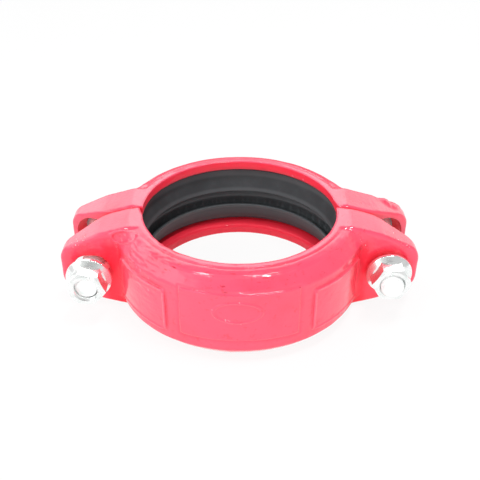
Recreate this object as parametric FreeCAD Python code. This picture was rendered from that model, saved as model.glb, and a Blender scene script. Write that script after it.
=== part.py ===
import FreeCAD, Part
import math
import os

# A grooved pipe coupling for an 89 mm steel pipe: two cast housings, a C-section rubber
# gasket between them, and two bolts with flanged nuts that draw the housings together.
# Millimetres. The origin is the middle of the bore. Z is the pipe's axis, X runs across
# the two bolts, and the front housing with its nuts is on the -Y side.

Vector = FreeCAD.Vector

# Pipe and its groove
pipe_radius = 44.45
groove_depth = 2.2
key_play = 1.0

# Keys, the two inward ribs that stand in the pipes' grooves
key_height = 7.75
key_thickness = 5.9
key_nose = 3.7
key_bevel_in = 0.75
key_bevel_drop = 1.5
key_relief_depth = 1.8
key_relief_length = 8.0

# Housing wall
pocket_half = 15.4
wall_thickness = 4.9
rim_land = 3.25
rim_step = 0.4
rim_step_run = 0.3
shoulder_fall = 0.95
shoulder_inset = 5.0
shoulder_drop = 6.8
shoulder_round = 1.6
wall_edge_round = 1.2
split_gap = 0.3

# Pads cast on the wall
pad_height = 0.7
pad_low = -10.5
pad_high = 10.5
pad_corner = 3.0
pad_start_deg = 33.0
pad_end_deg = 66.0
panel_height = 0.45
panel_low = -9.0
panel_corner = 1.5
panel_half_deg = 26.0
pad_root = 1.0

# Ears that carry the bolts
bolt_spacing = 131.4
ear_depth = 17.9
ear_overhang = 13.5
ear_tip_half = 9.7
ear_tip_round = 8.6
ear_bend_past_key = 5.75
ear_bend_round = 7.0
ear_knee_before_bolt = 3.4
ear_knee_half = 17.6
ear_knee_round = 18.0
ear_edge_round = 1.8
ear_mating_round = 1.6
ear_root_inside = 4.0
pad_stop_before_bolt = 6.7
pad_stop_round = 12.0
relief_past_bolt = 8.3
relief_depth = 8.2
relief_round = 10.0
ear_tip_relief = 11.4
valley_round = 5.0
valley_root = 3.0

# Bolt holes, cored with a wide mouth towards the other housing
hole_half_length = 7.7
hole_half_width = 6.3
hole_corner = 6.2
mouth_half_length = 10.6
mouth_half_width = 11.8
mouth_corner = 10.3
mouth_depth = 7.4

# Bolts, of the kind with an oval neck and a round head
bolt_thread = 10.0
thread_clearance = 0.05
bolt_end = 32.4
bolt_end_chamfer = 1.0
neck_play = 0.9
neck_length = 5.5
head_radius = 10.4
head_rim = 1.8
head_height = 6.2
head_crown_fall = 5.0
head_crown_round = 2.5

# Hexagon nuts with a flange
nut_across_flats = 15.0
nut_height = 10.0
nut_chamfer = 0.9
nut_face_inset = 0.45
nut_bore_chamfer = 0.7
flange_radius = 10.0
flange_rim = 1.7
flange_top_radius = 7.9
flange_top = 3.6
flange_rim_round = 0.5
right_nut_gap = 2.8
left_nut_gap = 6.1
left_nut_turn_deg = 11.0
right_nut_turn_deg = 0.0

# Gasket
gasket_play = 0.3
gasket_outer_round = 1.5
gasket_back = 3.0
gasket_side_depth = 3.1
gasket_side_fall = 0.8
gasket_side_round = 1.0
lip_clearance = 0.25
lip_tip_half = 4.1
lip_tip_thickness = 1.3
lip_root_half = 9.0
lip_tip_round = 0.4
centre_rib_height = 0.9
centre_rib_half = 1.6

# Sizes that follow from the ones above
key_radius = pipe_radius - groove_depth + key_play
pocket_radius = key_radius + key_height
wall_radius = pocket_radius + wall_thickness
half_width = pocket_half + key_thickness
rim_radius = key_radius + rim_land
wall_half = half_width - shoulder_drop
bolt_x = bolt_spacing / 2
ear_tip = bolt_x + ear_overhang
thread_radius = bolt_thread / 2 - thread_clearance
nut_bore_radius = bolt_thread / 2
cut_margin = 1.0
same_point = 1e-6
edge_margin = 0.01
full_turn_deg = 360.0
half_turn_deg = 180.0
hexagon_sides = 6


def on_section(p):
    """Takes a flat point to the plane of a turned section, radius along X and height along Z."""
    return Vector(p.x, 0, p.y)


def on_plan(p):
    """Takes a flat point to the plane seen from above."""
    return Vector(p.x, p.y, 0)


def outline(corners, place):
    """Closed wire through corners given as (a, b, radius), with a tangent arc at each radius."""
    points = [Vector(a, b, 0) for a, b, radius in corners]
    spans = []
    for index, (a, b, radius) in enumerate(corners):
        here = points[index]
        if radius <= 0:
            spans.append((here, None, here))
            continue
        back = (points[index - 1] - here).normalize()
        ahead = (points[(index + 1) % len(points)] - here).normalize()
        half_angle = back.getAngle(ahead) / 2
        reach = radius / math.tan(half_angle)
        inward = (back + ahead).normalize() * (radius / math.sin(half_angle) - radius)
        spans.append((here + back * reach, here + inward, here + ahead * reach))
    edges = []
    for index, (start, middle, end) in enumerate(spans):
        if middle is not None:
            edges.append(Part.Arc(place(start), place(middle), place(end)).toShape())
        following = spans[(index + 1) % len(spans)][0]
        if (following - end).Length > same_point:
            edges.append(Part.LineSegment(place(end), place(following)).toShape())
    return Part.Wire(edges)


def mirrored_down(upper):
    """Adds to the upper half of an outline its mirror image below the middle."""
    return upper + [(a, -b, radius) for a, b, radius in reversed(upper)]


def turned(corners):
    """Solid of revolution about the pipe's axis."""
    return Part.Face(outline(corners, on_section)).revolve(Vector(), Vector(0, 0, 1), full_turn_deg)


def turned_along_bolt(corners, x, y):
    """Solid of revolution about a bolt's axis: corners are (distance along -Y, radius, rounding)."""
    wire = outline(corners, lambda p: Vector(x + p.y, y - p.x, 0))
    return Part.Face(wire).revolve(Vector(x, y, 0), Vector(0, 1, 0), full_turn_deg)


def block(x_low, x_high, y_low, y_high, z_low, z_high):
    """Plain box between two corners."""
    return Part.makeBox(x_high - x_low, y_high - y_low, z_high - z_low, Vector(x_low, y_low, z_low))


def ring_outside():
    """Outer form of the housing's ring: flat rim, sloping shoulder and upright wall."""
    upper = [
        (key_radius - ear_root_inside, half_width, 0),
        (rim_radius, half_width, 0),
        (rim_radius + rim_step_run, half_width - rim_step, 0),
        (wall_radius - shoulder_inset, half_width - shoulder_fall, shoulder_round),
        (wall_radius, wall_half, wall_edge_round),
    ]
    return turned(mirrored_down(upper))


def bore_and_pocket():
    """Space inside the ring: the bore between the keys' noses and the gasket's pocket."""
    nose_end = half_width - key_nose
    upper = [
        (0, half_width + cut_margin, 0),
        (key_radius, half_width + cut_margin, 0),
        (key_radius, nose_end, 0),
        (key_radius + key_bevel_in, nose_end - key_bevel_drop, 0),
        (pocket_radius, pocket_half, 0),
    ]
    return turned(mirrored_down(upper))


def ear_elevation():
    """Ear seen along the bolt: its top falls, more steeply past the knee, to a rounded tip."""
    upper = [
        (key_radius - ear_root_inside, half_width, 0),
        (key_radius + ear_bend_past_key, half_width, ear_bend_round),
        (bolt_x - ear_knee_before_bolt, ear_knee_half, ear_knee_round),
        (ear_tip, ear_tip_half, ear_tip_round),
    ]
    return mirrored_down(upper)


def ear_plan():
    """Ear seen from above: flat at the split, then curving away from the other housing."""
    root = key_radius - ear_root_inside
    split = -split_gap / 2
    return [
        (root, split, 0),
        (bolt_x - pad_stop_before_bolt, split, pad_stop_round),
        (bolt_x + relief_past_bolt, -relief_depth, relief_round),
        (ear_tip, -ear_tip_relief, 0),
        (ear_tip, -ear_depth, 0),
        (root, -ear_depth, 0),
    ]


def ear():
    """Right-hand ear of the front housing, with the edges round both its faces rounded."""
    along_bolt = Part.Face(outline(ear_elevation(), on_section)).extrude(Vector(0, -ear_depth, 0))
    from_above = Part.Face(outline(ear_plan(), on_plan)).extrude(Vector(0, 0, 2 * half_width))
    from_above.translate(Vector(0, 0, -half_width))
    solid = along_bolt.common(from_above)
    inner_end = key_radius - ear_root_inside
    mating_edges = [
        edge for edge in solid.Edges
        if edge.BoundBox.YMin > -ear_depth + edge_margin
        and (edge.BoundBox.XLength > edge_margin or edge.BoundBox.XMin > ear_tip - edge_margin)
    ]
    rounded = solid.makeFillet(ear_mating_round, mating_edges)
    nut_face_edges = [
        edge for edge in rounded.Edges
        if edge.BoundBox.YMax < -ear_depth + edge_margin and edge.BoundBox.XMax > inner_end + edge_margin
    ]
    return rounded.makeFillet(ear_edge_round, nut_face_edges)


def valley_section(radius, z):
    """Plan section of the hollow fillet between the ear's nut face and the ring's wall."""
    centre_y = -ear_depth - valley_round
    centre_x = math.sqrt((radius + valley_round) ** 2 - centre_y ** 2)
    centre = Vector(centre_x, centre_y, z)
    on_ring = Vector(centre_x, centre_y, 0) * (radius / (radius + valley_round)) + Vector(0, 0, z)
    on_ear = Vector(centre_x, -ear_depth, z)
    bisector = ((on_ring - centre) + (on_ear - centre)).normalize()
    in_ear = on_ear + Vector(0, valley_root, 0)
    in_ring = Vector(on_ring.x, on_ring.y, 0) * ((radius - valley_root) / radius) + Vector(0, 0, z)
    return Part.Wire([
        Part.Arc(on_ring, centre + bisector * valley_round, on_ear).toShape(),
        Part.LineSegment(on_ear, in_ear).toShape(),
        Part.LineSegment(in_ear, in_ring).toShape(),
        Part.LineSegment(in_ring, on_ring).toShape(),
    ])


def valley():
    """Hollow fillet along the wall and up both shoulders, trimmed to the ear's height."""
    shoulder_radius = wall_radius - shoulder_inset
    shoulder_half = half_width - shoulder_fall
    fillet = Part.makeLoft([
        valley_section(shoulder_radius, -shoulder_half),
        valley_section(wall_radius, -wall_half),
        valley_section(wall_radius, wall_half),
        valley_section(shoulder_radius, shoulder_half),
    ], True, True)
    height = Part.Face(outline(ear_elevation(), on_section)).extrude(Vector(0, -wall_radius, 0))
    return fillet.common(height)


def wall_pad(height, low, high, corner, start_deg, end_deg):
    """Raised pad on the wall between two angles from the middle of the housing's front."""
    middle = math.radians((start_deg + end_deg) / 2)
    half_length = (wall_radius + height) * math.sin(math.radians((end_deg - start_deg) / 2))
    corners = [
        (-half_length, low, corner),
        (half_length, low, corner),
        (half_length, high, corner),
        (-half_length, high, corner),
    ]
    face = Part.Face(outline(corners, on_section))
    prism = face.extrude(Vector(0, -2 * wall_radius, 0))
    prism.rotate(Vector(), Vector(0, 0, 1), math.degrees(middle))
    skin = turned([
        (wall_radius - pad_root, low, 0),
        (wall_radius + height, low, 0),
        (wall_radius + height, high, 0),
        (wall_radius - pad_root, high, 0),
    ])
    return prism.common(skin)


def mouth_outline(half_length, half_width_z, corner, y):
    """Rounded rectangle across the bolt's axis, at one depth."""
    corners = [
        (bolt_x - half_length, -half_width_z, corner),
        (bolt_x + half_length, -half_width_z, corner),
        (bolt_x + half_length, half_width_z, corner),
        (bolt_x - half_length, half_width_z, corner),
    ]
    return outline(corners, lambda p: Vector(p.x, y, p.y))


def bolt_hole():
    """Oval hole at the nut face that widens towards the other housing."""
    outside = mouth_outline(hole_half_length, hole_half_width, hole_corner, -ear_depth - cut_margin)
    seat = mouth_outline(hole_half_length, hole_half_width, hole_corner, -ear_depth)
    inner_y = -ear_depth + mouth_depth
    mouth = mouth_outline(mouth_half_length, mouth_half_width, mouth_corner, inner_y)
    through = mouth_outline(mouth_half_length, mouth_half_width, mouth_corner, cut_margin)
    return Part.makeLoft([outside, seat, mouth, through], True, True)


def key_end_relief():
    """Wedges that ease the left end of both keys, so that the halves close on a pipe."""
    inner = key_radius - cut_margin
    corners = [
        (-inner, -key_relief_length, 0),
        (-key_radius - key_relief_depth, cut_margin, 0),
        (-inner, cut_margin, 0),
    ]
    face = Part.Face(outline(corners, on_plan))
    tall = face.extrude(Vector(0, 0, 2 * (half_width + cut_margin)))
    tall.translate(Vector(0, 0, -half_width - cut_margin))
    return tall


def left_and_right(right):
    """A right-hand solid and its mirror image on the left."""
    return [right, right.mirror(Vector(), Vector(1, 0, 0))]


def front_housing():
    """Cast front half: half of the ring with an ear at each end."""
    reach = ear_tip + cut_margin
    height = half_width + cut_margin
    front_side = block(-reach, reach, -wall_radius - cut_margin, -split_gap / 2, -height, height)
    half_ring = ring_outside().common(front_side)
    middle = wall_pad(panel_height, panel_low, wall_half, panel_corner, -panel_half_deg, panel_half_deg)
    side = wall_pad(pad_height, pad_low, pad_high, pad_corner, pad_start_deg, pad_end_deg)
    added = [middle] + left_and_right(side) + left_and_right(ear()) + left_and_right(valley())
    body = half_ring.fuse(added).removeSplitter()
    return body.cut([bore_and_pocket(), key_end_relief()] + left_and_right(bolt_hole()))


def rear_housing():
    """The same casting as the front half, turned round the pipe's axis."""
    body = front_housing()
    body.rotate(Vector(), Vector(0, 0, 1), half_turn_deg)
    return body


def gasket():
    """C-section ring: two lips that lean inwards over a hollow, with a low rib inside."""
    outer = pocket_radius - gasket_play
    outer_half = pocket_half - gasket_play
    back = outer - gasket_back
    tip = key_radius + lip_clearance
    upper = [
        (outer, outer_half, gasket_outer_round),
        (outer - gasket_side_depth, outer_half - gasket_side_fall, gasket_side_round),
        (tip, lip_tip_half, lip_tip_round),
        (tip + lip_tip_thickness, lip_tip_half - lip_tip_round, 0),
        (back, lip_root_half, 0),
        (back, centre_rib_half, 0),
        (back - centre_rib_height, centre_rib_half / 2, 0),
    ]
    return turned(mirrored_down(upper))


def bolt(x):
    """Bolt with a round head behind the rear ear, an oval neck in its hole and a plain shank."""
    seat = -ear_depth
    shank = turned_along_bolt([
        (seat, 0, 0),
        (seat, thread_radius, 0),
        (bolt_end - bolt_end_chamfer, thread_radius, 0),
        (bolt_end, thread_radius - bolt_end_chamfer, 0),
        (bolt_end, 0, 0),
    ], x, 0)
    head = turned_along_bolt([
        (seat - head_height, 0, 0),
        (seat - head_height, head_radius - head_crown_fall, head_crown_round),
        (seat - head_rim, head_radius, 0),
        (seat, head_radius, 0),
        (seat, 0, 0),
    ], x, 0)
    neck_half = hole_half_length - neck_play
    neck_half_z = hole_half_width - neck_play
    corners = [
        (x - neck_half, -neck_half_z, hole_corner - neck_play),
        (x + neck_half, -neck_half_z, hole_corner - neck_play),
        (x + neck_half, neck_half_z, hole_corner - neck_play),
        (x - neck_half, neck_half_z, hole_corner - neck_play),
    ]
    neck = Part.Face(outline(corners, on_section)).extrude(Vector(0, -neck_length, 0))
    neck.translate(Vector(0, ear_depth, 0))
    return shank.fuse([head, neck]).removeSplitter()


def nut(x, gap, turn_deg):
    """Hexagon nut with a flange, its back face a gap in front of the ear's nut face."""
    back = ear_depth + gap
    front = back + nut_height
    corner_radius = nut_across_flats / math.sqrt(3)
    side_deg = full_turn_deg / hexagon_sides
    angles = [math.radians(side_deg * step - turn_deg) for step in range(hexagon_sides + 1)]
    flats = [
        Vector(x + corner_radius * math.cos(angle), -back, corner_radius * math.sin(angle))
        for angle in angles
    ]
    hexagon = Part.Face(Part.makePolygon(flats)).extrude(Vector(0, -nut_height, 0))
    chamfered = turned_along_bolt([
        (back, 0, 0),
        (back, corner_radius, 0),
        (front - nut_chamfer, corner_radius, 0),
        (front, nut_across_flats / 2 - nut_face_inset, 0),
        (front, 0, 0),
    ], x, 0)
    flange = turned_along_bolt([
        (back, 0, 0),
        (back, flange_radius, flange_rim_round),
        (back + flange_rim, flange_radius, flange_rim_round),
        (back + flange_top, flange_top_radius, 0),
        (back + flange_top, 0, 0),
    ], x, 0)
    opening = turned_along_bolt([
        (back - cut_margin, 0, 0),
        (back - cut_margin, nut_bore_radius + nut_bore_chamfer + cut_margin, 0),
        (back + nut_bore_chamfer, nut_bore_radius, 0),
        (front - nut_bore_chamfer, nut_bore_radius, 0),
        (front + cut_margin, nut_bore_radius + nut_bore_chamfer + cut_margin, 0),
        (front + cut_margin, 0, 0),
    ], x, 0)
    return hexagon.common(chamfered).fuse(flange).removeSplitter().cut(opening)


def main():
    """Builds every piece and writes it to its own file."""
    os.makedirs("parts", exist_ok=True)
    pieces = {
        "front_housing": front_housing(),
        "rear_housing": rear_housing(),
        "gasket": gasket(),
        "left_bolt": bolt(-bolt_x),
        "right_bolt": bolt(bolt_x),
        "left_nut": nut(-bolt_x, left_nut_gap, left_nut_turn_deg),
        "right_nut": nut(bolt_x, right_nut_gap, right_nut_turn_deg),
    }
    for name, shape in pieces.items():
        shape.exportStep("parts/" + name + ".step")


main()
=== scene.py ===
"""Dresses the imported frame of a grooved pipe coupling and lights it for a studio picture.

Metres. The origin is the middle of the bore, Z is the pipe's axis, X runs from bolt to bolt,
and the nuts are on the -Y side, as in the frame.
"""

import logging
import math
from collections.abc import Iterator
from contextlib import contextmanager
from dataclasses import dataclass
from enum import Enum
from typing import Any

import bmesh
import bpy
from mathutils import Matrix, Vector


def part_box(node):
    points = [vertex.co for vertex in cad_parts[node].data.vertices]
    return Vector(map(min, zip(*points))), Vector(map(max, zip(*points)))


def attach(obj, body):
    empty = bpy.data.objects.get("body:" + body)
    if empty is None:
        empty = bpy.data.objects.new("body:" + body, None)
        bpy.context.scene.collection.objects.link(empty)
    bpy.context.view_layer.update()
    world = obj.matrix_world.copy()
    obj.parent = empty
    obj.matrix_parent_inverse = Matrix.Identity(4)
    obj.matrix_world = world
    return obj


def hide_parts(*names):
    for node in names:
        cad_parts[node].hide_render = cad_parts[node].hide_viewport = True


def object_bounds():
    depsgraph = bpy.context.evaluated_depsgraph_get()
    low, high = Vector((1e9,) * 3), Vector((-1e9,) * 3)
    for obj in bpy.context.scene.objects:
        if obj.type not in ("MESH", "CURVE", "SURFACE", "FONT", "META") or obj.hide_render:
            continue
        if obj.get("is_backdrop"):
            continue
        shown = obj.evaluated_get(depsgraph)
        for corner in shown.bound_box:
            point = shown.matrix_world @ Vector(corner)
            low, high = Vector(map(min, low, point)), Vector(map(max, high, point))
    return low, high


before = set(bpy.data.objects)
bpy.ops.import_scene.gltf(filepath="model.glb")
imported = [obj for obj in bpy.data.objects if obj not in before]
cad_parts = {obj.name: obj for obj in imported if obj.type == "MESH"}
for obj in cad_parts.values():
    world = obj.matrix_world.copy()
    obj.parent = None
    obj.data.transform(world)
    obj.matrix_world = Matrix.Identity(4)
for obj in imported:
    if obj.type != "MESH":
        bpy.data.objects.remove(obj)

MM = 0.001
LOG = logging.getLogger("pipe_coupling")

Colour = tuple[float, float, float, float]
Point = tuple[float, float, float]
Span = tuple[float, float]


# Node graphs


class Wire:
    """One output socket of a node graph, on which ordinary arithmetic adds Math nodes."""

    def __init__(self, graph: "Graph", socket: bpy.types.NodeSocket) -> None:
        """Holds the socket and the graph that it belongs to."""
        self.graph = graph
        self.socket = socket

    def __add__(self, other: "Value") -> "Wire":
        """Sum of two values."""
        return self.graph.maths("ADD", self, other)

    def __sub__(self, other: "Value") -> "Wire":
        """Difference of two values."""
        return self.graph.maths("SUBTRACT", self, other)

    def __rsub__(self, other: "Value") -> "Wire":
        """Difference with the plain number first."""
        return self.graph.maths("SUBTRACT", other, self)

    def __mul__(self, other: "Value") -> "Wire":
        """Product of two values."""
        return self.graph.maths("MULTIPLY", self, other)

    def __truediv__(self, other: "Value") -> "Wire":
        """Quotient of two values."""
        return self.graph.maths("DIVIDE", self, other)

    def __rtruediv__(self, other: "Value") -> "Wire":
        """Quotient with the plain number first."""
        return self.graph.maths("DIVIDE", other, self)

    def __neg__(self) -> "Wire":
        """The value with its sign changed."""
        return self.graph.maths("MULTIPLY", self, -1.0)

    __radd__ = __add__
    __rmul__ = __mul__


Value = Wire | float


class Graph:
    """A node tree that is written as Python expressions."""

    def __init__(self, tree: bpy.types.NodeTree) -> None:
        """Starts on a tree, with its default nodes taken out."""
        self.tree = tree
        self.tree.nodes.clear()

    def add(
        self,
        kind: str,
        settings: dict[str, Any] | None = None,
        sockets: dict[Any, Any] | None = None,
    ) -> bpy.types.Node:
        """Adds any node.

        Args:
            kind: The node's type name.
            settings: The node's own properties, which are set before its sockets.
            sockets: Input name or index, and the number, colour or wire that goes there.

        Returns:
            The new node.
        """
        node = self.tree.nodes.new(kind)
        for name, value in (settings or {}).items():
            setattr(node, name, value)
        for key, value in (sockets or {}).items():
            if isinstance(value, Wire):
                self.tree.links.new(value.socket, node.inputs[key])
            else:
                node.inputs[key].default_value = value
        return node

    def out(self, node: bpy.types.Node, key: Any = 0) -> Wire:
        """Wire from one of a node's outputs."""
        return Wire(self, node.outputs[key])

    def maths(self, operation: str, *values: Value) -> Wire:
        """Math node on one, two or three values."""
        node = self.add("ShaderNodeMath", {"operation": operation}, dict(enumerate(values)))
        return self.out(node)

    def vectors(self, operation: str, *values: Any) -> bpy.types.Node:
        """Vector Math node on one or two vectors."""
        return self.add("ShaderNodeVectorMath", {"operation": operation}, dict(enumerate(values)))

    def vector(self, operation: str, *values: Any) -> Wire:
        """Vector that an operation on vectors gives."""
        return self.out(self.vectors(operation, *values), "Vector")

    def number(self, operation: str, *values: Any) -> Wire:
        """Number that an operation on vectors gives."""
        return self.out(self.vectors(operation, *values), "Value")

    def step(self, value: Value, span: Span = (0.0, 1.0)) -> Wire:
        """Smooth step from 0 at the span's start to 1 at its end."""
        return self.out(self.add(
            "ShaderNodeMapRange",
            {"interpolation_type": "SMOOTHSTEP"},
            {"Value": value, "From Min": span[0], "From Max": span[1]},
        ))

    def fade(self, value: Value, span: Span = (0.0, 1.0)) -> Wire:
        """Smooth step the other way, from 1 at the span's start to 0 at its end."""
        return 1.0 - self.step(value, span)

    def unsigned(self, value: Value) -> Wire:
        """The value without its sign."""
        return self.maths("ABSOLUTE", value)

    def apart(self, vector: Wire) -> tuple[Wire, Wire, Wire]:
        """The three numbers of a vector."""
        node = self.add("ShaderNodeSeparateXYZ", None, {0: vector})
        return self.out(node, 0), self.out(node, 1), self.out(node, 2)

    def together(self, x: Value, y: Value, z: Value) -> Wire:
        """A vector from three numbers."""
        return self.out(self.add("ShaderNodeCombineXYZ", None, {0: x, 1: y, 2: z}))

    def radius(self, x: Wire, y: Wire) -> Wire:
        """Length of the line from 0 to a point of two coordinates."""
        return self.maths("SQRT", x * x + y * y)

    def noise(self, place: Wire, size: float, detail: float = 2.0, roughness: float = 0.5) -> Wire:
        """Cloud noise.

        Args:
            place: The coordinates that it is read at.
            size: The size of its largest lumps, in metres.
            detail: How many finer layers are added.
            roughness: The weight of the finer layers.

        Returns:
            Values about 0.5.
        """
        return self.out(self.add("ShaderNodeTexNoise", None, {
            "Vector": place, "Scale": 1.0 / size, "Detail": detail, "Roughness": roughness}))


class Shading(Graph):
    """The node graph of one material."""

    def __init__(self, name: str) -> None:
        """Makes an empty material.

        Args:
            name: The material's name.
        """
        self.material = bpy.data.materials.new(name)
        self.material.use_nodes = True
        super().__init__(self.material.node_tree)

    def place(self) -> Wire:
        """Object coordinates, which are the frame's own metres."""
        return self.out(self.add("ShaderNodeTexCoord"), "Object")

    def blend(self, share: Value, first: Any, second: Any) -> Wire:
        """Mix of two colours by a share from 0 to 1."""
        node = self.add("ShaderNodeMix", {"data_type": "RGBA"}, {0: share, 6: first, 7: second})
        return self.out(node, 2)

    def bump(self, height: Wire, depth: float, under: Wire | None = None) -> Wire:
        """Normal bent by a pattern.

        Args:
            height: The pattern, from 0 to 1.
            depth: The depth in metres that its range stands for.
            under: A normal that is already bent, if there is one.

        Returns:
            The bent normal.
        """
        sockets: dict[str, Any] = {"Height": height, "Distance": depth, "Strength": 1.0}
        if under is not None:
            sockets["Normal"] = under
        return self.out(self.add("ShaderNodeBump", None, sockets))

    def surface(self, sockets: dict[str, Any]) -> bpy.types.Material:
        """Ends the graph in one Principled surface.

        Args:
            sockets: The surface's input names, and what goes there.

        Returns:
            The finished material.
        """
        shader = self.add("ShaderNodeBsdfPrincipled", None, sockets)
        self.add("ShaderNodeOutputMaterial", None, {"Surface": self.out(shader)})
        return self.material


class Modelling(Graph):
    """The node graph of one Geometry Nodes modifier, with named inputs for its sizes."""

    def __init__(self, name: str, takes_geometry: bool) -> None:
        """Makes an empty geometry tree.

        Args:
            name: The tree's name.
            takes_geometry: Whether a mesh comes in.
        """
        tree = bpy.data.node_groups.new(name, "GeometryNodeTree")
        super().__init__(tree)
        if takes_geometry:
            tree.interface.new_socket("Geometry", in_out="INPUT", socket_type="NodeSocketGeometry")
        tree.interface.new_socket("Geometry", in_out="OUTPUT", socket_type="NodeSocketGeometry")
        self.sizes: dict[str, float | int] = {}
        self.entry = self.add("NodeGroupInput")

    def size(self, name: str, value: float | int) -> Wire:
        """Adds a named input to the tree.

        Args:
            name: The input's name.
            value: What the modifier's input is set to.

        Returns:
            The input as a wire.
        """
        kind = "NodeSocketInt" if isinstance(value, int) else "NodeSocketFloat"
        self.tree.interface.new_socket(name, in_out="INPUT", socket_type=kind)
        self.sizes[name] = value
        return self.out(self.entry, name)

    def field(self, owner: Any, name: str) -> Wire:
        """Adds an input that is named after its owner, if that has a name, and a field of it.

        Args:
            owner: The piece or the detail that has the field.
            name: The field's name.

        Returns:
            The input as a wire, set to the field's value.
        """
        title = " ".join([getattr(owner, "name", ""), *name.title().split("_")]).strip()
        return self.size(title, getattr(owner, name))

    def fields(self, owner: Any, *names: str) -> list[Wire]:
        """Inputs for several fields, in their order."""
        return [self.field(owner, name) for name in names]

    def end(self, geometry: Wire, material: bpy.types.Material) -> None:
        """Ends the tree in Realize Instances and Set Material.

        Args:
            geometry: The finished geometry.
            material: Its material.
        """
        real = self.out(self.add("GeometryNodeRealizeInstances", None, {0: geometry}))
        painted = self.add("GeometryNodeSetMaterial", None, {0: real, "Material": material})
        self.add("NodeGroupOutput", None, {0: self.out(painted)})

    def put_on(self, piece: bpy.types.Object) -> None:
        """Adds the tree to a piece as a modifier and sets its inputs by their identifiers.

        Args:
            piece: The piece that the tree shapes.
        """
        modifier = piece.modifiers.new(self.tree.name, "NODES")
        modifier.node_group = self.tree
        for item in self.tree.interface.items_tree:
            if item.in_out == "INPUT" and item.name in self.sizes:
                modifier[item.identifier] = self.sizes[item.name]


# Mesh helpers


def new_piece(name: str, mesh: bpy.types.Mesh) -> bpy.types.Object:
    """Links a mesh into the scene as an object at the origin.

    Args:
        name: The object's name.
        mesh: Its mesh, with its place in it.

    Returns:
        The object.
    """
    piece = bpy.data.objects.new(name, mesh)
    bpy.context.scene.collection.objects.link(piece)
    return piece


@contextmanager
def edited(mesh: bpy.types.Mesh) -> Iterator[bmesh.types.BMesh]:
    """Opens a mesh for editing and writes it back.

    Args:
        mesh: The mesh.

    Returns:
        The editable copy, while the block runs.
    """
    work = bmesh.new()
    work.from_mesh(mesh)
    yield work
    work.to_mesh(mesh)
    work.free()


def welded_copy(node: str, name: str) -> bpy.types.Object:
    """Copies a frame node's mesh and joins its loose triangles.

    Args:
        node: The frame node's name.
        name: The new piece's name.

    Returns:
        The copy, as an object of its own.
    """
    same_point = 0.002 * MM
    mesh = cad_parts[node].data.copy()
    mesh.materials.clear()
    with edited(mesh) as work:
        bmesh.ops.remove_doubles(work, verts=work.verts, dist=same_point)
        bmesh.ops.dissolve_degenerate(work, edges=work.edges, dist=same_point)
    mesh.name = name
    return new_piece(name, mesh)


def made_plain(piece: bpy.types.Object) -> None:
    """Bakes a piece's modifiers into its mesh and removes them.

    Args:
        piece: The piece.
    """
    depsgraph = bpy.context.evaluated_depsgraph_get()
    mesh = bpy.data.meshes.new_from_object(piece.evaluated_get(depsgraph))
    piece.modifiers.clear()
    piece.data = mesh


def smooth_shaded(piece: bpy.types.Object, crease_deg: float) -> None:
    """Shades a piece smooth, with sharp edges where its faces turn by more than an angle."""
    piece.data.polygons.foreach_set("use_smooth", [True] * len(piece.data.polygons))
    piece.data.set_sharp_from_angle(angle=math.radians(crease_deg))


class Slot(Enum):
    """The record's material slots."""

    PAINT = "paint"
    RUBBER = "gasket_rubber"
    ZINC = "zinc"


@dataclass
class Part:
    """A piece that stands for one node of the frame and rides on that node's body."""

    node: str
    body: str

    def finish(self, piece: bpy.types.Object, material: bpy.types.Material, slot: Slot) -> None:
        """Dresses the finished piece, puts it in the node's place and reports it.

        Args:
            piece: The piece.
            material: Its material.
            slot: Not used.
        """
        piece.data.materials.clear()
        piece.data.materials.append(material)
        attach(piece, self.body)
        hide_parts(self.node)
        LOG.info("%s: %d faces", piece.name, len(piece.data.polygons))


# Finishes


@dataclass(frozen=True)
class PaintedPitShade:
    """Painted shade: dark specks that stand in for the shade in the pits of the shoulders, drawn
    out along the ring.
    """

    colour: Colour = (0.30, 0.012, 0.030, 1.0)
    strength: float = 0.75
    speck_size: float = 1.1 * MM
    specks: Span = (0.625, 0.69)
    ring_radius: float = 18.0 * MM
    area_size: float = 13.0 * MM
    areas: Span = (0.44, 0.56)
    rise: Span = (12.0 * MM, 15.0 * MM)
    inner_edge: Span = (47.5 * MM, 48.5 * MM)
    outer_edge: Span = (56.5 * MM, 58.0 * MM)

    def share(self, shade: Shading, place: Wire) -> Wire:
        """How much of the surface carries the painted pit shade.

        Args:
            shade: The material's graph.
            place: The coordinates in the frame.

        Returns:
            0 on clean paint, up to the strength on a speck.
        """
        x, y, z = shade.apart(place)
        reach = shade.radius(x, y)
        angle = shade.maths("ARCTAN2", x, y)
        along = shade.together(angle * self.ring_radius, reach, z)
        speck = shade.step(shade.noise(along, self.speck_size, roughness=0.6), self.specks)
        area = shade.step(shade.noise(place, self.area_size), self.areas)
        high = shade.step(shade.unsigned(z), self.rise)
        shoulder = shade.step(reach, self.inner_edge) - shade.step(reach, self.outer_edge)
        return speck * area * high * shoulder * self.strength


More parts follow.
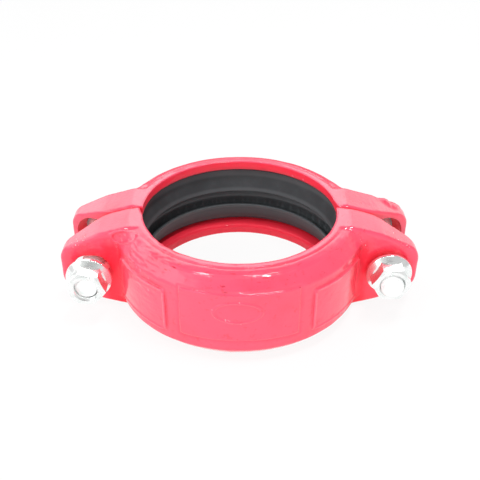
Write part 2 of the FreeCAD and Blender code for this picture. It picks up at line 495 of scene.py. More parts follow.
@dataclass(frozen=True)
class Pimples:
    """Small round bumps of sand under the paint, in patches on the ears' upper slopes, whose tips
    carry a painted highlight.
    """

    # Pale tips: a painted highlight for the glints on the bumps.
    colour: Colour = (1.00, 0.720, 0.800, 1.0)
    strength: float = 0.85
    tips: Span = (0.70, 0.95)
    size: float = 1.6 * MM
    height: float = 0.34 * MM
    dome: Span = (0.05, 0.42)
    patch_size: float = 11.0 * MM
    patches: Span = (0.47, 0.57)
    aside: Span = (48.0 * MM, 54.0 * MM)
    forward: Span = (6.0 * MM, 9.0 * MM)
    rise: Span = (8.0 * MM, 12.0 * MM)
    level: Span = (0.93, 0.985)

    def share(self, shade: Shading, place: Wire, tilt: Wire) -> Wire:
        """Where the pimples are.

        Args:
            shade: The material's graph.
            place: The coordinates in the frame.
            tilt: The surface normal's Z.

        Returns:
            1 on their tips and 0 between them.
        """
        cell = shade.add("ShaderNodeTexVoronoi", None, {"Vector": place, "Scale": 1.0 / self.size})
        dome = shade.fade(shade.out(cell, "Distance"), self.dome)
        patch = shade.step(shade.noise(place, self.patch_size, detail=1.0), self.patches)
        x, y, z = shade.apart(place)
        ears = shade.step(shade.unsigned(x), self.aside)
        ears = ears * shade.step(-y, self.forward) * shade.step(z, self.rise)
        return dome * patch * ears * shade.fade(tilt, self.level)


@dataclass(frozen=True)
class RedEnamel:
    """Thick glossy enamel over a sand casting."""

    painted_pit_shade: PaintedPitShade = PaintedPitShade()
    pimples: Pimples = Pimples()
    colour: Colour = (0.96, 0.072, 0.138, 1.0)
    # Deeper red: random tone, and painted shade in the hollows, the bore and the ears' roots.
    deep_colour: Colour = (0.97, 0.027, 0.054, 1.0)
    # Painted shade in the creases.
    crease_shade_colour: Colour = (0.66, 0.014, 0.040, 1.0)
    # Pale edges: a painted highlight, where the paint is also thinner.
    thin_paint_and_sheen_colour: Colour = (0.97, 0.190, 0.300, 1.0)
    cloud_size: float = 22.0 * MM
    clouds: Span = (0.45, 0.85)
    cloud_share: float = 0.4
    fleck_size: float = 2.6 * MM
    flecks: Span = (0.56, 0.76)
    fleck_share: float = 0.5
    hollow_reach: float = 14.0 * MM
    hollows: Span = (0.35, 0.85)
    creases: Span = (0.38, 0.48)
    edges: Span = (0.52, 0.59)
    edge_share: float = 0.45
    roughness: float = 0.38
    roughness_spread: float = 0.25
    inner_gloss: float = 0.15
    coat: float = 1.0
    coat_roughness: float = 0.05
    coat_breaks: Span = (0.55, 0.8)
    break_loss: float = 0.2
    shade_zone_coat_loss: float = 0.85
    grain_size: float = 0.8 * MM
    grain_depth: float = 0.045 * MM
    peel_size: float = 1.9 * MM
    peel_depth: float = 0.12 * MM
    level: Span = (0.985, 0.998)
    level_calm: float = 0.6
    shade_zone_share: float = 0.8
    rim: Span = (20.2 * MM, 20.9 * MM)
    bore: Span = (46.0 * MM, 47.0 * MM)
    right_root_lead: float = 3.5 * MM
    root_start: Span = (49.5 * MM, 52.0 * MM)
    root_end: Span = (58.0 * MM, 62.0 * MM)
    root_depth: Span = (9.0 * MM, 13.0 * MM)
    root_top: Span = (10.0 * MM, 17.0 * MM)

    def material(self) -> bpy.types.Material:
        """Builds the material.

        Returns:
            The enamel.
        """
        shade = Shading("red_enamel")
        place = shade.place()
        _, _, tilt = shade.apart(shade.out(shade.add("ShaderNodeNewGeometry"), "Normal"))
        uneven = 1.0 - shade.step(tilt, self.level) * self.level_calm
        grain = shade.noise(place, self.grain_size, detail=3.0, roughness=0.6)
        peel = shade.noise(place, self.peel_size, detail=1.5)
        pimples = self.pimples.share(shade, place, tilt)
        # Painted shade in the bore and at the ears' roots, which also weakens the coat there.
        shade_zone = self.shade_zone(shade, place)
        normal = shade.bump(peel * uneven, self.peel_depth)
        normal = shade.bump(grain, self.grain_depth, normal)
        normal = shade.bump(pimples, self.pimples.height, normal)
        broken = shade.step(peel, self.coat_breaks) * self.break_loss
        return shade.surface({
            "Base Color": self.colours(shade, place, shade_zone, pimples),
            "Roughness": self.roughness + (grain - 0.5) * self.roughness_spread,
            "Specular IOR Level": self.inner_gloss,
            "Coat Weight": self.coat - broken - shade_zone * self.shade_zone_coat_loss,
            "Coat Roughness": self.coat_roughness,
            "Normal": normal,
        })

    def shade_zone(self, shade: Shading, place: Wire) -> Wire:
        """Painted shade: the zone in the bore, below its rims, and at the ears' roots that is
        drawn in a deeper colour, with a weaker coat, to stand in for the shade there.

        Args:
            shade: The material's graph.
            place: The coordinates in the frame.

        Returns:
            0 on open paint, up to the zone's share.
        """
        x, y, z = shade.apart(place)
        bore = shade.fade(shade.unsigned(z), self.rim) * shade.fade(shade.radius(x, y), self.bore)
        side = shade.maths("MAXIMUM", x + self.right_root_lead, -x)
        root = shade.step(side, self.root_start) * shade.fade(side, self.root_end)
        root = root * shade.step(shade.unsigned(y), self.root_depth)
        root = root * shade.fade(z, self.root_top)
        return shade.maths("MAXIMUM", bore, root) * self.shade_zone_share

    def colours(self, shade: Shading, place: Wire, shade_zone: Wire, pimples: Wire) -> Wire:
        """Paint with a random deeper tone, painted shade in the hollows, the bore, the ears'
        roots, the creases and the shoulders' pits, a painted highlight over raised edges, where
        the paint is also thinner, and painted glints on the pimples' tips.

        Args:
            shade: The material's graph.
            place: The coordinates in the frame.
            shade_zone: How strong the painted shade of the bore and the ears' roots is.
            pimples: 1 on the tips of the pimples of sand.

        Returns:
            The base colour.
        """
        cloud = shade.noise(place, self.cloud_size, detail=3.0, roughness=0.55)
        fleck = shade.noise(place, self.fleck_size, detail=3.0, roughness=0.6)
        curve = shade.out(shade.add("ShaderNodeNewGeometry"), "Pointiness")
        # Painted shade: deeper colour where ambient occlusion finds the surface hemmed in.
        open_sky = shade.out(shade.add("ShaderNodeAmbientOcclusion", {"samples": 8}, {
            "Distance": self.hollow_reach}), "AO")
        hollow = shade.maths("MAXIMUM", shade.fade(open_sky, self.hollows), shade_zone)
        layers = (
            (shade.step(cloud, self.clouds) * self.cloud_share, self.deep_colour),
            (shade.step(fleck, self.flecks) * self.fleck_share, self.deep_colour),
            # Painted shade in the hollows, the bore and the ears' roots.
            (hollow, self.deep_colour),
            # Painted shade: darker red in the creases.
            (shade.fade(curve, self.creases), self.crease_shade_colour),
            # Pale raised edges: a painted highlight, and thinner paint.
            (shade.step(curve, self.edges) * self.edge_share, self.thin_paint_and_sheen_colour),
            # Painted shade: dark specks for the shade in the shoulders' pits.
            (self.painted_pit_shade.share(shade, place), self.painted_pit_shade.colour),
            # Painted highlight: pale glints on the pimples' tips.
            (shade.step(pimples, self.pimples.tips) * self.pimples.strength, self.pimples.colour),
        )
        colour: Any = self.colour
        for share, over in layers:
            colour = shade.blend(share, colour, over)
        return colour


@dataclass(frozen=True)
class BrightZinc:
    """Bright zinc plate with a faint cool tint."""

    name: str
    roughness: float
    bareness: float
    colour: Colour = (0.97, 0.98, 0.975, 1.0)
    dull_colour: Colour = (0.85, 0.90, 0.88, 1.0)
    cloud_size: float = 4.0 * MM
    clouds: Span = (0.45, 0.75)
    cloud_spread: float = 0.2
    speck_size: float = 0.6 * MM
    speck_depth: float = 0.006 * MM
    speck_spread: float = 0.08

    def material(self) -> bpy.types.Material:
        """Builds the material.

        Returns:
            The zinc plate.
        """
        shade = Shading(self.name)
        place = shade.place()
        cloud = shade.noise(place, self.cloud_size, detail=3.0, roughness=0.6)
        speck = shade.noise(place, self.speck_size)
        spread = (cloud - 0.5) * self.cloud_spread
        return shade.surface({
            "Base Color": shade.blend(
                shade.step(cloud, self.clouds), self.colour, self.dull_colour),
            "Metallic": self.bareness,
            "Roughness": self.roughness + spread + (speck - 0.5) * self.speck_spread,
            "Normal": shade.bump(speck, self.speck_depth),
        })


@dataclass(frozen=True)
class BlackRubber:
    """Moulded black rubber with a dry, slightly greyed face."""

    colour: Colour = (0.030, 0.036, 0.040, 1.0)
    dusty_colour: Colour = (0.046, 0.054, 0.059, 1.0)
    # Paler rubber: in the hollow and low down, and as a painted highlight on the lips' tips.
    pale_rubber_colour: Colour = (0.078, 0.088, 0.094, 1.0)
    roughness: float = 0.56
    roughness_spread: float = 0.25
    cloud_size: float = 9.0 * MM
    clouds: Span = (0.4, 0.75)
    grain_size: float = 0.5 * MM
    grain_depth: float = 0.012 * MM
    hollow: Span = (46.2 * MM, 46.8 * MM)
    hollow_paling: float = 0.85
    lip_tips: Span = (43.9 * MM, 44.5 * MM)
    tip_highlight: float = 0.9
    low_side: Span = (-7.0 * MM, -5.0 * MM)
    low_paling: float = 0.45
    paling_least: float = 0.6
    paling_spread: float = 0.6

    def material(self) -> bpy.types.Material:
        """Builds the material, paler in the hollow and low down, with a painted highlight along
        the lips' tips.

        Returns:
            The rubber.
        """
        shade = Shading("black_rubber")
        place = shade.place()
        x, y, z = shade.apart(place)
        cloud = shade.noise(place, self.cloud_size, detail=4.0, roughness=0.6)
        grain = shade.noise(place, self.grain_size)
        reach = shade.radius(x, y)
        # Paler in the hollow and low down; along the lips' tips the paler colour is a painted
        # highlight.
        paling = shade.maths(
            "MAXIMUM",
            shade.step(reach, self.hollow) * self.hollow_paling,
            shade.maths(
                "MAXIMUM",
                shade.fade(reach, self.lip_tips) * self.tip_highlight,
                shade.fade(z, self.low_side) * self.low_paling,
            ),
        )
        paling = paling * (cloud * self.paling_spread + self.paling_least)
        colour = shade.blend(shade.step(cloud, self.clouds), self.colour, self.dusty_colour)
        return shade.surface({
            "Base Color": shade.blend(paling, colour, self.pale_rubber_colour),
            "Roughness": self.roughness + (cloud - 0.5) * self.roughness_spread,
            "Normal": shade.bump(grain, self.grain_depth),
        })


# The coupling's pieces


class Casting(Modelling):
    """Geometry tree that shapes the skin of a casting, with coordinates that follow its ring."""

    def __init__(self, half: "Housing") -> None:
        """Starts on the mesh that comes in.

        Args:
            half: The half of the coupling that the casting is.
        """
        super().__init__(half.node + "_casting", True)
        self.place = self.out(self.add("GeometryNodeInputPosition"))
        self.normal = self.out(self.add("GeometryNodeInputNormal"))
        x, self.y, self.z = self.apart(self.place)
        self.reach = self.radius(x, self.y)
        self.angle = self.maths("ARCTAN2", x, self.y * half.front_sign)
        ring, stretch = self.fields(half, "ring_radius", "ripple_stretch")
        self.around = self.together(self.angle * ring / stretch, self.reach, self.z)


@dataclass(frozen=True)
class Oval:
    """Plain raised oval outline, which is cast on the surface."""

    name: str
    middle: Point
    rise_axis: Point
    facing: Point
    half_width: float
    half_height: float
    bed: float = 0.0
    bed_widths: float = 2.0
    rise: float = 0.40 * MM
    line: float = 0.60 * MM
    line_fade: Span = (0.3, 1.0)
    margin: float = 2.0 * MM
    facing_fade: Span = (0.1, 0.4)

    def height(self, cast: Casting) -> Wire:
        """How far the outline lifts the surface, and the bed around it sinks it.

        Args:
            cast: The casting's tree.

        Returns:
            The lift in metres, and 0 away from the oval.
        """
        half_width, half_height, rise, line = cast.fields(
            self, "half_width", "half_height", "rise", "line")
        offset = cast.vector("SUBTRACT", cast.place, self.middle)
        across = cast.apart(offset)[0] / half_width
        along = cast.number("DOT_PRODUCT", offset, self.rise_axis) / half_height
        away = cast.unsigned(cast.radius(across, along) - 1.0) * half_height / line
        faces = cast.number("DOT_PRODUCT", cast.normal, self.facing)
        distance = cast.number("LENGTH", offset)
        near = cast.fade(distance, (self.half_width, self.half_width + self.margin))
        outline = cast.fade(away, self.line_fade) * rise * near
        sunk = cast.fade(distance, (self.half_width, self.half_width * self.bed_widths))
        return (outline - sunk * self.bed) * cast.step(faces, self.facing_fade)

    def refine(self, piece: bpy.types.Object) -> None:
        """Halves the cells of the piece's mesh around the oval.

        Args:
            piece: The piece that carries the oval.
        """
        middle = Vector(self.middle)
        facing = Vector(self.facing)
        with edited(piece.data) as work:
            inside = {
                vertex for vertex in work.verts
                if (vertex.co - middle).length < self.half_width + self.margin
                and vertex.normal.dot(facing) > self.facing_fade[0]
            }
            edges = [edge for edge in work.edges if inside.issuperset(edge.verts)]
            bmesh.ops.subdivide_edges(work, edges=edges, cuts=1, use_grid_fill=True)


@dataclass(frozen=True)
class Patch:
    """Rough place on the casting, where sand has stuck."""

    name: str
    middle: Point
    reach: float
    strength: float
    edge: Span = (0.45, 1.0)

    def share(self, cast: Casting) -> Wire:
        """How strong the patch is.

        Args:
            cast: The casting's tree.

        Returns:
            The patch's strength, which fades to 0 at its edge.
        """
        reach, strength = cast.fields(self, "reach", "strength")
        away = cast.number("DISTANCE", cast.place, self.middle) / reach
        return cast.fade(away, self.edge) * strength


@dataclass(frozen=True)
class Border:
    """Edge of a raised oblong on the wall, which the paint has left crisp."""

    name: str
    middle_deg: float
    half_deg: float
    low: float
    high: float
    ridge: float = 0.46 * MM
    groove: float = 0.10 * MM
    line: float = 0.80 * MM
    inner: float = -0.40 * MM
    outer: float = 0.55 * MM
    wall_radius: float = 56.3 * MM
    wall_edge: Span = (54.8 * MM, 55.5 * MM)

    def height(self, cast: Casting) -> Wire:
        """Lift just inside the edge and sinking just outside it.

        Args:
            cast: The casting's tree.

        Returns:
            The lift in metres, and 0 away from the edge.
        """
        ridge_height, groove_depth, line = cast.fields(self, "ridge", "groove", "line")
        turn = cast.unsigned(cast.angle - math.radians(self.middle_deg))
        past_side = (turn - math.radians(self.half_deg)) * self.wall_radius
        middle, half = (self.low + self.high) / 2, (self.high - self.low) / 2
        past_end = cast.unsigned(cast.z - middle) - half
        past = cast.maths("MAXIMUM", past_side, past_end)
        ridge = cast.fade(cast.unsigned(past - self.inner) / line) * ridge_height
        groove = cast.fade(cast.unsigned(past - self.outer) / line) * groove_depth
        return (ridge - groove) * cast.step(cast.reach, self.wall_edge)


@dataclass
class Housing(Part):
    """One cast half, re-surfaced as a painted sand casting.

    Its noise is measured down from its highest value, so that it only sinks the surface and the
    piece stays inside the solid's outline.
    """

    front_sign: float
    ovals: tuple[Oval, ...] = ()
    borders: tuple[Border, ...] = ()
    patches: tuple[Patch, ...] = ()
    burrs: tuple[Patch, ...] = ()
    cell: float = 0.42 * MM
    smoothing: float = 0.5
    smoothing_passes: int = 3
    kept_share: float = 0.50
    highest: float = 0.8
    lump_size: float = 9.0 * MM
    lump_height: float = 0.24 * MM
    ripple_size: float = 2.4 * MM
    ripple_stretch: float = 3.0
    ripple_height: float = 0.13 * MM
    ring_radius: float = 50.0 * MM
    wrinkle_size: float = 1.3 * MM
    wrinkle_height: float = 0.58 * MM
    rough_size: float = 14.0 * MM
    rough_areas: Span = (0.52, 0.66)
    rough_share: float = 0.35
    level: Span = (0.985, 0.998)
    level_calm: float = 0.7
    off_ears: Span = (22.0 * MM, 28.0 * MM)
    bend_radius: float = 50.9 * MM
    bend_height: float = 20.35 * MM
    bend_reach: float = 4.0 * MM
    bend_ease: float = 0.25 * MM
    facet_deg: float = 33.0
    facet_depth: float = 0.30 * MM
    facet_edge: Span = (1.6 * MM, 2.8 * MM)
    rim_line_radius: float = 46.9 * MM
    rim_line_width: float = 0.55 * MM
    rim_line_depth: float = 0.34 * MM
    rim_line_rise: Span = (19.6 * MM, 20.4 * MM)
    burr_lift: float = 0.5

    def skin(self, paint: bpy.types.Material) -> bpy.types.Object:
        """Builds the painted surface over the solid.

        Args:
            paint: The material of the surface.

        Returns:
            The piece that stands for the frame's node.
        """
        piece = welded_copy(self.node, self.node + "_skin")
        remesh = piece.modifiers.new("even", "REMESH")
        remesh.mode = "VOXEL"
        remesh.voxel_size = self.cell
        remesh.use_smooth_shade = True
        soften = piece.modifiers.new("soften", "SMOOTH")
        soften.factor = self.smoothing
        soften.iterations = self.smoothing_passes
        made_plain(piece)
        for oval in self.ovals:
            oval.refine(piece)
        self.casting(paint).put_on(piece)
        thin = piece.modifiers.new("thin", "DECIMATE")
        thin.ratio = self.kept_share
        made_plain(piece)
        piece.data.polygons.foreach_set("use_smooth", [True] * len(piece.data.polygons))
        return piece

    def casting(self, paint: bpy.types.Material) -> Casting:
        """Geometry tree for the casting's lumps, wrinkles, bend, ovals, borders and burrs.

        Args:
            paint: The material of the surface.

        Returns:
            The tree, ready to be put on the even skin.
        """
        cast = Casting(self)
        ripple = self.cloud(cast, "ripple_size", cast.around)
        off_ears = cast.step(cast.unsigned(cast.y), self.off_ears)
        line = self.rim_line(cast) * off_ears * cast.field(self, "rim_line_depth")
        rise = self.sand(cast, ripple) - self.bend(cast) * off_ears - line
        for raised in (*self.ovals, *self.borders):
            rise = rise + raised.height(cast)
        for burr in self.burrs:
            rise = rise + burr.share(cast) * (ripple + self.burr_lift)
        offset = cast.vector("MULTIPLY", cast.normal, cast.together(rise, rise, rise))
        moved = cast.add("GeometryNodeSetPosition", None, {
            "Geometry": cast.out(cast.entry, "Geometry"), "Offset": offset})
        cast.end(cast.out(moved), paint)
        return cast

    def sand(self, cast: Casting, ripple: Wire) -> Wire:
        """Broad lumps, ripples, and wrinkles where the casting is rough.

        Args:
            cast: The casting's tree.
            ripple: The ripples' noise.

        Returns:
            The lift in metres.
        """
        lump = self.cloud(cast, "lump_size", cast.place)
        wrinkle = self.cloud(cast, "wrinkle_size", cast.around)
        lumps = (lump - self.highest) * cast.field(self, "lump_height")
        ripples = (ripple - self.highest) * cast.field(self, "ripple_height")
        wrinkles = (wrinkle - self.highest) * cast.field(self, "wrinkle_height")
        return lumps + ripples + wrinkles * self.rough(cast)

    def rough(self, cast: Casting) -> Wire:
        """How rough the casting is, most of all in its patches.

        Args:
            cast: The casting's tree.

        Returns:
            A share from 0 to 1.
        """
        rough = cast.step(self.cloud(cast, "rough_size", cast.place), self.rough_areas)
        rough = rough * self.rough_share
        for patch in self.patches:
            rough = cast.maths("MAXIMUM", rough, patch.share(cast))
        level = cast.step(cast.apart(cast.normal)[2], self.level)
        return rough * (1.0 - level * self.level_calm)

    def bend(self, cast: Casting) -> Wire:
        """How far the bend from the rim to the shoulder is eased, with a narrow facet along it.

        Args:
            cast: The casting's tree.

        Returns:
            The depth in metres.
        """
        outward = cast.reach - cast.field(self, "bend_radius")
        upward = cast.unsigned(cast.z) - cast.field(self, "bend_height")
        away = cast.radius(outward, upward)
        ease = cast.fade(away / cast.field(self, "bend_reach")) * cast.field(self, "bend_ease")
        lean = math.radians(self.facet_deg)
        over = outward * math.sin(lean) + upward * math.cos(lean)
        over = cast.maths("MAXIMUM", over + cast.field(self, "facet_depth"), 0.0)
        return ease + over * cast.fade(away, self.facet_edge)

    def rim_line(self, cast: Casting) -> Wire:
        """Where the fine line round the rim is.

        Args:
            cast: The casting's tree.

        Returns:
            1 in the line and 0 away from it.
        """
        away = cast.unsigned(cast.reach - cast.field(self, "rim_line_radius"))
        line = cast.fade(away / cast.field(self, "rim_line_width"))
        return line * cast.step(cast.unsigned(cast.z), self.rim_line_rise)

    def cloud(self, cast: Casting, size: str, place: Wire) -> Wire:
        """Noise whose size is one of the half's fields."""
        return cast.out(cast.add("ShaderNodeTexNoise", None, {
            "Vector": place, "Scale": 1.0 / cast.field(self, size), "Detail": 1.0}))

    def build(self, paint: bpy.types.Material) -> None:
        """Builds the painted half."""
        self.finish(self.skin(paint), paint, Slot.PAINT)


@dataclass
class Gasket(Part):
    """The rubber ring between the housings."""

    crease_deg: float = 32.0

    def build(self, rubber: bpy.types.Material) -> None:
        """Builds the ring.

        Args:
            rubber: Its material.
        """
        piece = welded_copy(self.node, "gasket_ring")
        smooth_shaded(piece, self.crease_deg)
        self.finish(piece, rubber, Slot.RUBBER)


@dataclass
class Bolt(Part):
    """A bolt with a real rolled thread on the front end of its shank."""

    thread_radius: float = 4.95 * MM
    thread_depth: float = 0.82 * MM
    flank: Span = (0.1, 0.9)
    pitch: float = 1.5 * MM
    thread_length: float = 31.0 * MM
    run_out: Span = (-0.49, -0.42)
    end_chamfer: float = 0.5 * MM
    facets: int = 40
    rows_per_turn: int = 8
    weld: float = 0.005 * MM
    cut_weld: float = 0.001 * MM
    crease_deg: float = 40.0

    def thread(self, zinc: bpy.types.Material) -> bpy.types.Object:
        """Builds the threaded end of the shank along its helix.

        Args:
            zinc: The material of the thread.

        Returns:
            The thread as a plain mesh, open where it joins the shank.
        """
        low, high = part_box(self.node)
        name = self.node + "_thread"
        graph = Modelling(name, False)
        radius, depth, length = graph.fields(
            self, "thread_radius", "thread_depth", "thread_length")
        pitch, chamfer, facets = graph.fields(self, "pitch", "end_chamfer", "facets")
        rows = graph.size("Rows", int(self.thread_length / self.pitch * self.rows_per_turn))
        middle = graph.size("Bolt Middle", (low[0] + high[0]) / 2)
        end = graph.size("Bolt End", low[1])
        grid = graph.add("GeometryNodeMeshGrid", None, {
            "Size X": 1.0, "Size Y": 1.0, "Vertices X": facets, "Vertices Y": rows})
        across, along, _ = graph.apart(graph.out(graph.add("GeometryNodeInputPosition")))
        turn = across + 0.5
        from_end = (0.5 - along) * length
        phase = graph.maths("FRACT", turn + from_end / pitch)
        ridge = graph.step(graph.unsigned(phase * 2.0 - 1.0), self.flank)
        cut = radius - (1.0 - ridge) * depth * graph.step(along, self.run_out)
        here = graph.maths("MINIMUM", cut, radius - chamfer + from_end)
        angle = turn * math.tau
        wrapped = graph.together(
            middle + graph.maths("COSINE", angle) * here,
            end + from_end,
            graph.maths("SINE", angle) * here,
        )
        moved = graph.add("GeometryNodeSetPosition", None, {
            "Geometry": graph.out(grid, "Mesh"), "Position": wrapped})
        closed = graph.add("GeometryNodeMergeByDistance", None, {
            "Geometry": graph.out(moved), "Distance": self.weld})
        graph.end(graph.out(closed), zinc)
        piece = new_piece(name, bpy.data.meshes.new(name))
        graph.put_on(piece)
        made_plain(piece)
        return piece

    def head_and_shank(self) -> bpy.types.Object:
        """Copies the frame's bolt and cuts its threaded length away.

        Returns:
            The copy, open where the thread joins it.
        """
        piece = welded_copy(self.node, self.node + "_zinc")
        low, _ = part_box(self.node)
        with edited(piece.data) as work:
            bmesh.ops.bisect_plane(
                work,
                geom=work.verts[:] + work.edges[:] + work.faces[:],
                dist=self.cut_weld,
                plane_co=(0.0, low[1] + self.thread_length, 0.0),
                plane_no=(0.0, -1.0, 0.0),
                clear_outer=True,
            )
        return piece

    def build(self, zinc: bpy.types.Material) -> None:
        """Builds the bolt of its shank and its thread.

        Args:
            zinc: Its material.
        """
        piece = self.head_and_shank()
        thread = self.thread(zinc)
        with edited(piece.data) as work:
            work.from_mesh(thread.data)
            bmesh.ops.holes_fill(work, edges=[edge for edge in work.edges if edge.is_boundary])
            bmesh.ops.recalc_face_normals(work, faces=work.faces)
        bpy.data.objects.remove(thread)
        smooth_shaded(piece, self.crease_deg)
        self.finish(piece, zinc, Slot.ZINC)


@dataclass
class Nut(Part):
    """A hexagon nut with a flange, its edges eased."""

    edge_round: float = 0.28 * MM
    edge_segments: int = 3
    edge_deg: float = 25.0
    flat_weight: int = 100

    def build(self, zinc: bpy.types.Material) -> None:
        """Builds the nut.

        Args:
            zinc: Its material.
        """
        piece = welded_copy(self.node, self.node + "_zinc")
        ease = piece.modifiers.new("ease", "BEVEL")
        ease.width = self.edge_round
        ease.segments = self.edge_segments
        ease.limit_method = "ANGLE"
        ease.angle_limit = math.radians(self.edge_deg)
        smooth_shaded(piece, 180.0)
        flats = piece.modifiers.new("flats", "WEIGHTED_NORMAL")
        flats.weight = self.flat_weight
        made_plain(piece)
        self.finish(piece, zinc, Slot.ZINC)


# The studio


@dataclass(frozen=True)
class Room:
    """White room around the scene, whose walls are brighter and dimmer in places.

    A span of a direction's part, such as its height, says where a place begins or ends.
    """

    walls: float = 0.61
    least: float = 0.04
    backdrop: float = 2.40
    backdrop_depth: Span = (0.4, 0.65)
    backdrop_foot: Span = (0.50, 0.61)
    foot_slant: float = 0.9
    backdrop_wings: Span = (0.10, 0.38)
    wing_loss: float = 0.55
    backdrop_top: Span = (0.66, 0.90)
    top_slant: float = 0.35
    window: float = 1.80
    window_side: Span = (0.45, 0.75)
    window_foot: Span = (0.25, 0.40)
    window_top: Span = (0.78, 0.90)
    front: float = 0.22
    front_depth: Span = (0.2, 0.6)
    front_top: Span = (0.3, 0.6)
    ceiling_shade: float = 0.52
    ceiling_foot: Span = (0.70, 0.84)
    ceiling_depth: Span = (-0.45, -0.05)
    horizon_shade: float = 0.40
    horizon_depth: Span = (0.84, 0.92)
    horizon_top: Span = (0.28, 0.40)
    right_shade: float = 0.12
    right_side: Span = (0.0, 0.3)
    person_shade: float = 0.30
    person_edge: Span = (0.93, 0.98)

    def build(self, towards_camera: Vector) -> None:
        """Makes the world, which a camera ray sees as plain white.

        Args:
            towards_camera: The direction in which the photographer stands.
        """
        world = bpy.data.worlds.new("white_room")
        bpy.context.scene.world = world
        world.use_nodes = True
        graph = Graph(world.node_tree)
        seen = graph.out(graph.add("ShaderNodeLightPath"), "Is Camera Ray")
        light = self.light(graph, towards_camera)
        shader = graph.add("ShaderNodeBackground", None, {
            "Color": (1.0, 1.0, 1.0, 1.0), "Strength": light + seen * (1.0 - light)})
        graph.add("ShaderNodeOutputWorld", None, {"Surface": graph.out(shader)})

    def light(self, graph: Graph, towards_camera: Vector) -> Wire:
        """The room's light by direction.

        Its backdrop, its left side and the front below are bright. The back of its ceiling, the
        foot of its back wall, its right side and the photographer's place are dim.

        Args:
            graph: The world's graph.
            towards_camera: The direction in which the photographer stands.

        Returns:
            The strength of the light.
        """
        way = graph.out(graph.add("ShaderNodeTexCoord"), "Generated")
        right, behind, up = graph.apart(way)
        aside = graph.unsigned(right)
        backdrop = graph.step(behind, self.backdrop_depth)
        backdrop = backdrop * graph.step(up + aside * self.foot_slant, self.backdrop_foot)
        wings = graph.step(aside, self.backdrop_wings) * self.wing_loss
        backdrop = backdrop * (1.0 - wings)
        backdrop = backdrop * graph.fade(up + right * self.top_slant, self.backdrop_top)
        window = graph.step(-right, self.window_side) * graph.step(up, self.window_foot)
        window = window * graph.fade(up, self.window_top)
        front = graph.step(-behind, self.front_depth) * graph.fade(up, self.front_top)
        ceiling = graph.step(up, self.ceiling_foot) * graph.step(behind, self.ceiling_depth)
        horizon = graph.step(behind, self.horizon_depth) * graph.fade(up, self.horizon_top)
        nearness = graph.number("DOT_PRODUCT", way, towards_camera)
        light = self.walls + backdrop * self.backdrop + window * self.window
        light = light + front * self.front - ceiling * self.ceiling_shade
        light = light - horizon * self.horizon_shade
        light = light - graph.step(right, self.right_side) * self.right_shade
        light = light - graph.step(nearness, self.person_edge) * self.person_shade
        return graph.maths("MAXIMUM", light, self.least)


@dataclass(frozen=True)
class Lamp:
    """An oblong lamp that points at the coupling, its level side first and its power in watts.

    A lamp without glare is kept out of the gloss, as a crossed filter does.
    """

    name: str
    place: Point
    size: Span
    power: float
    glare: bool = True

    def build(self) -> None:
        """Hangs the lamp."""
        data = bpy.data.lights.new(self.name, "AREA")
        data.shape = "RECTANGLE"
        data.size, data.size_y = self.size
        data.energy = self.power
        lamp = bpy.data.objects.new(self.name, data)
        lamp.location = self.place
        lamp.rotation_euler = (-Vector(self.place)).to_track_quat("-Z", "Y").to_euler()
        lamp.visible_glossy = self.glare
        bpy.context.scene.collection.objects.link(lamp)


@dataclass
class Studio:
    """White floor, white room, lamps and the camera."""

    floor_reach: float = 1.6
    floor_colour: Colour = (0.88, 0.88, 0.88, 1.0)
    floor_glow: float = 0.90
    room: Room = Room()
    lamps: tuple[Lamp, ...] = (
        Lamp("overhead", (0.15, -0.10, 0.75), (0.36, 0.05), 2.8),
        Lamp("front_left", (-0.26, -0.20, 0.68), (0.18, 0.05), 0.7),
        Lamp("front", (0.05, -0.80, 0.16), (0.06, 0.06), 0.7),
        Lamp("fill", (-0.12, -0.75, 0.46), (0.30, 0.30), 1.7, glare=False),
    )
    elevation_deg: float = 33.92
    distance: float = 0.3462
    aim: Point = (0.0002, 0.0015, 0.0022)
    lens_mm: float = 55.97
    sensor_mm: float = 36.0

    def floor(self) -> None:
        """Lays the floor under the coupling."""
        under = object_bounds()[0].z
        reach = self.floor_reach
        mesh = bpy.data.meshes.new("floor")
        corners = [(-reach, -reach), (reach, -reach), (reach, reach), (-reach, reach)]
        mesh.from_pydata([(x, y, under) for x, y in corners], [], [(0, 1, 2, 3)])
        piece = new_piece("floor", mesh)
        shade = Shading("white_floor")
        path = shade.add("ShaderNodeLightPath")
        seen = shade.out(path, "Is Camera Ray") * self.floor_glow
        mirrored = shade.maths(
            "MAXIMUM", shade.out(path, "Is Glossy Ray"), shade.out(path, "Is Transmission Ray"))
        paper = shade.add("ShaderNodeBsdfDiffuse", None, {"Color": self.floor_colour})
        glow = shade.add("ShaderNodeEmission", None, {"Strength": 1.0})
        both = shade.add("ShaderNodeMixShader", None, {
            0: shade.maths("MAXIMUM", seen, mirrored), 1: shade.out(paper), 2: shade.out(glow)})
        shade.add("ShaderNodeOutputMaterial", None, {"Surface": shade.out(both)})
        piece.data.materials.append(shade.material)
        piece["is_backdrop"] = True

    def towards_camera(self) -> Vector:
        """Direction from the coupling to the camera."""
        tilt = math.radians(self.elevation_deg)
        return Vector((0.0, -math.cos(tilt), math.sin(tilt)))

    def camera(self) -> None:
        """Sets the camera at the picture's viewing angle."""
        back = self.towards_camera()
        data = bpy.data.cameras.new("camera")
        data.lens = self.lens_mm
        data.sensor_width = self.sensor_mm
        camera = bpy.data.objects.new("camera", data)
        camera.location = Vector(self.aim) + back * self.distance
        camera.rotation_euler = (-back).to_track_quat("-Z", "Y").to_euler()
        bpy.context.scene.collection.objects.link(camera)
        bpy.context.scene.camera = camera

    def build(self) -> None:
        """Builds the floor, the room, the lamps and the camera."""
        self.floor()
        self.room.build(self.towards_camera())
        for lamp in self.lamps:
            lamp.build()
        self.camera()
        bpy.context.scene.view_settings.view_transform = "Standard"
        LOG.info("studio: floor, room, lamps and camera")


# The coupling


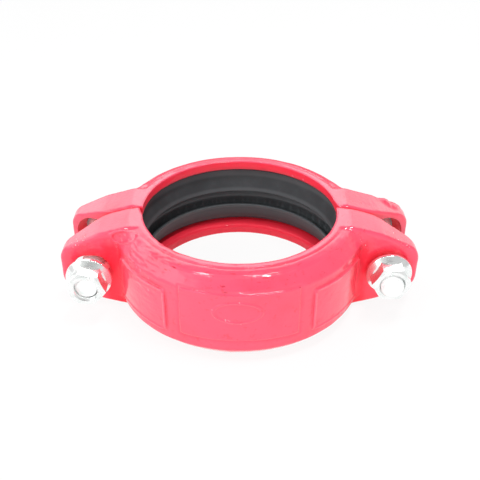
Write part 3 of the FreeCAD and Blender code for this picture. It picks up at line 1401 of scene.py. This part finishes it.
def in_mm(x: float, y: float, z: float) -> Point:
    """A point whose coordinates are given in millimetres."""
    return (x * MM, y * MM, z * MM)


def wall_borders() -> tuple[Border, ...]:
    """The edges of the two pads and of the middle panel on one half's wall."""
    pad_half = 10.5 * MM
    return (
        Border("Left Pad", -49.5, 16.5, -pad_half, pad_half),
        Border("Right Pad", 49.5, 16.5, -pad_half, pad_half),
        Border("Panel", 0.0, 26.0, -9.0 * MM, 14.6 * MM, ridge=0.0, groove=0.34 * MM),
    )


def rear_housing() -> Housing:
    """The rear half, with a burr and a rough place on its right ear."""
    return Housing(
        "rear_housing",
        "rear_half",
        1.0,
        borders=wall_borders(),
        patches=(Patch("Right Ear", in_mm(66.0, 15.0, 16.0), 14.0 * MM, 0.3),),
        burrs=(Patch("Burr", in_mm(71.0, 17.0, 13.6), 7.0 * MM, 0.9 * MM),),
    )


def front_housing() -> Housing:
    """Describes the front half, with two plain ovals and the rough places on its shoulder.

    Returns:
        The half.
    """
    ovals = (
        Oval(
            "Wall Oval",
            middle=in_mm(-0.8, -56.3, 5.5),
            rise_axis=(0.0, 0.0, 1.0),
            facing=(0.0, -1.0, 0.0),
            half_width=9.9 * MM,
            half_height=5.0 * MM,
            bed=0.38 * MM,
        ),
        Oval(
            "Ear Oval",
            middle=in_mm(-49.6, -19.6, 17.9),
            rise_axis=(0.0, 0.558, 0.830),
            facing=(-0.43, -0.50, 0.75),
            half_width=6.2 * MM,
            half_height=2.6 * MM,
        ),
    )
    patches = (
        Patch("Left Shoulder", in_mm(-38.0, -36.0, 16.0), 19.0 * MM, 1.0),
        Patch("Left Root", in_mm(-51.0, -20.0, 15.0), 8.0 * MM, 0.8),
        Patch("Left Valley", in_mm(-47.5, -28.0, 9.0), 7.0 * MM, 0.8),
        Patch("Middle", in_mm(15.0, -46.0, 20.5), 11.0 * MM, 0.5),
        Patch("Right Root", in_mm(45.0, -24.0, 19.5), 11.0 * MM, 0.45),
        Patch("Left Wall", in_mm(-25.0, -48.0, 14.0), 12.0 * MM, 0.6),
    )
    return Housing(
        "front_housing",
        "front_half",
        -1.0,
        ovals=ovals,
        borders=wall_borders(),
        patches=patches,
    )


def main() -> None:
    """Builds every piece in order, then the studio."""
    logging.basicConfig(level=logging.INFO, format="%(name)s %(message)s")
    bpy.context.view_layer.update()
    enamel = RedEnamel().material()
    zinc = BrightZinc("bright_zinc", 0.20, 0.90).material()
    satin_zinc = BrightZinc("satin_zinc", 0.46, 0.45).material()
    rubber = BlackRubber().material()
    rear_housing().build(enamel)
    front_housing().build(enamel)
    Gasket("gasket", "rear_half").build(rubber)
    Bolt("left_bolt", "rear_half").build(satin_zinc)
    Bolt("right_bolt", "rear_half").build(satin_zinc)
    Nut("left_nut", "left_nut_body").build(zinc)
    Nut("right_nut", "right_nut_body").build(zinc)
    Studio().build()


if __name__ == "__main__":
    main()
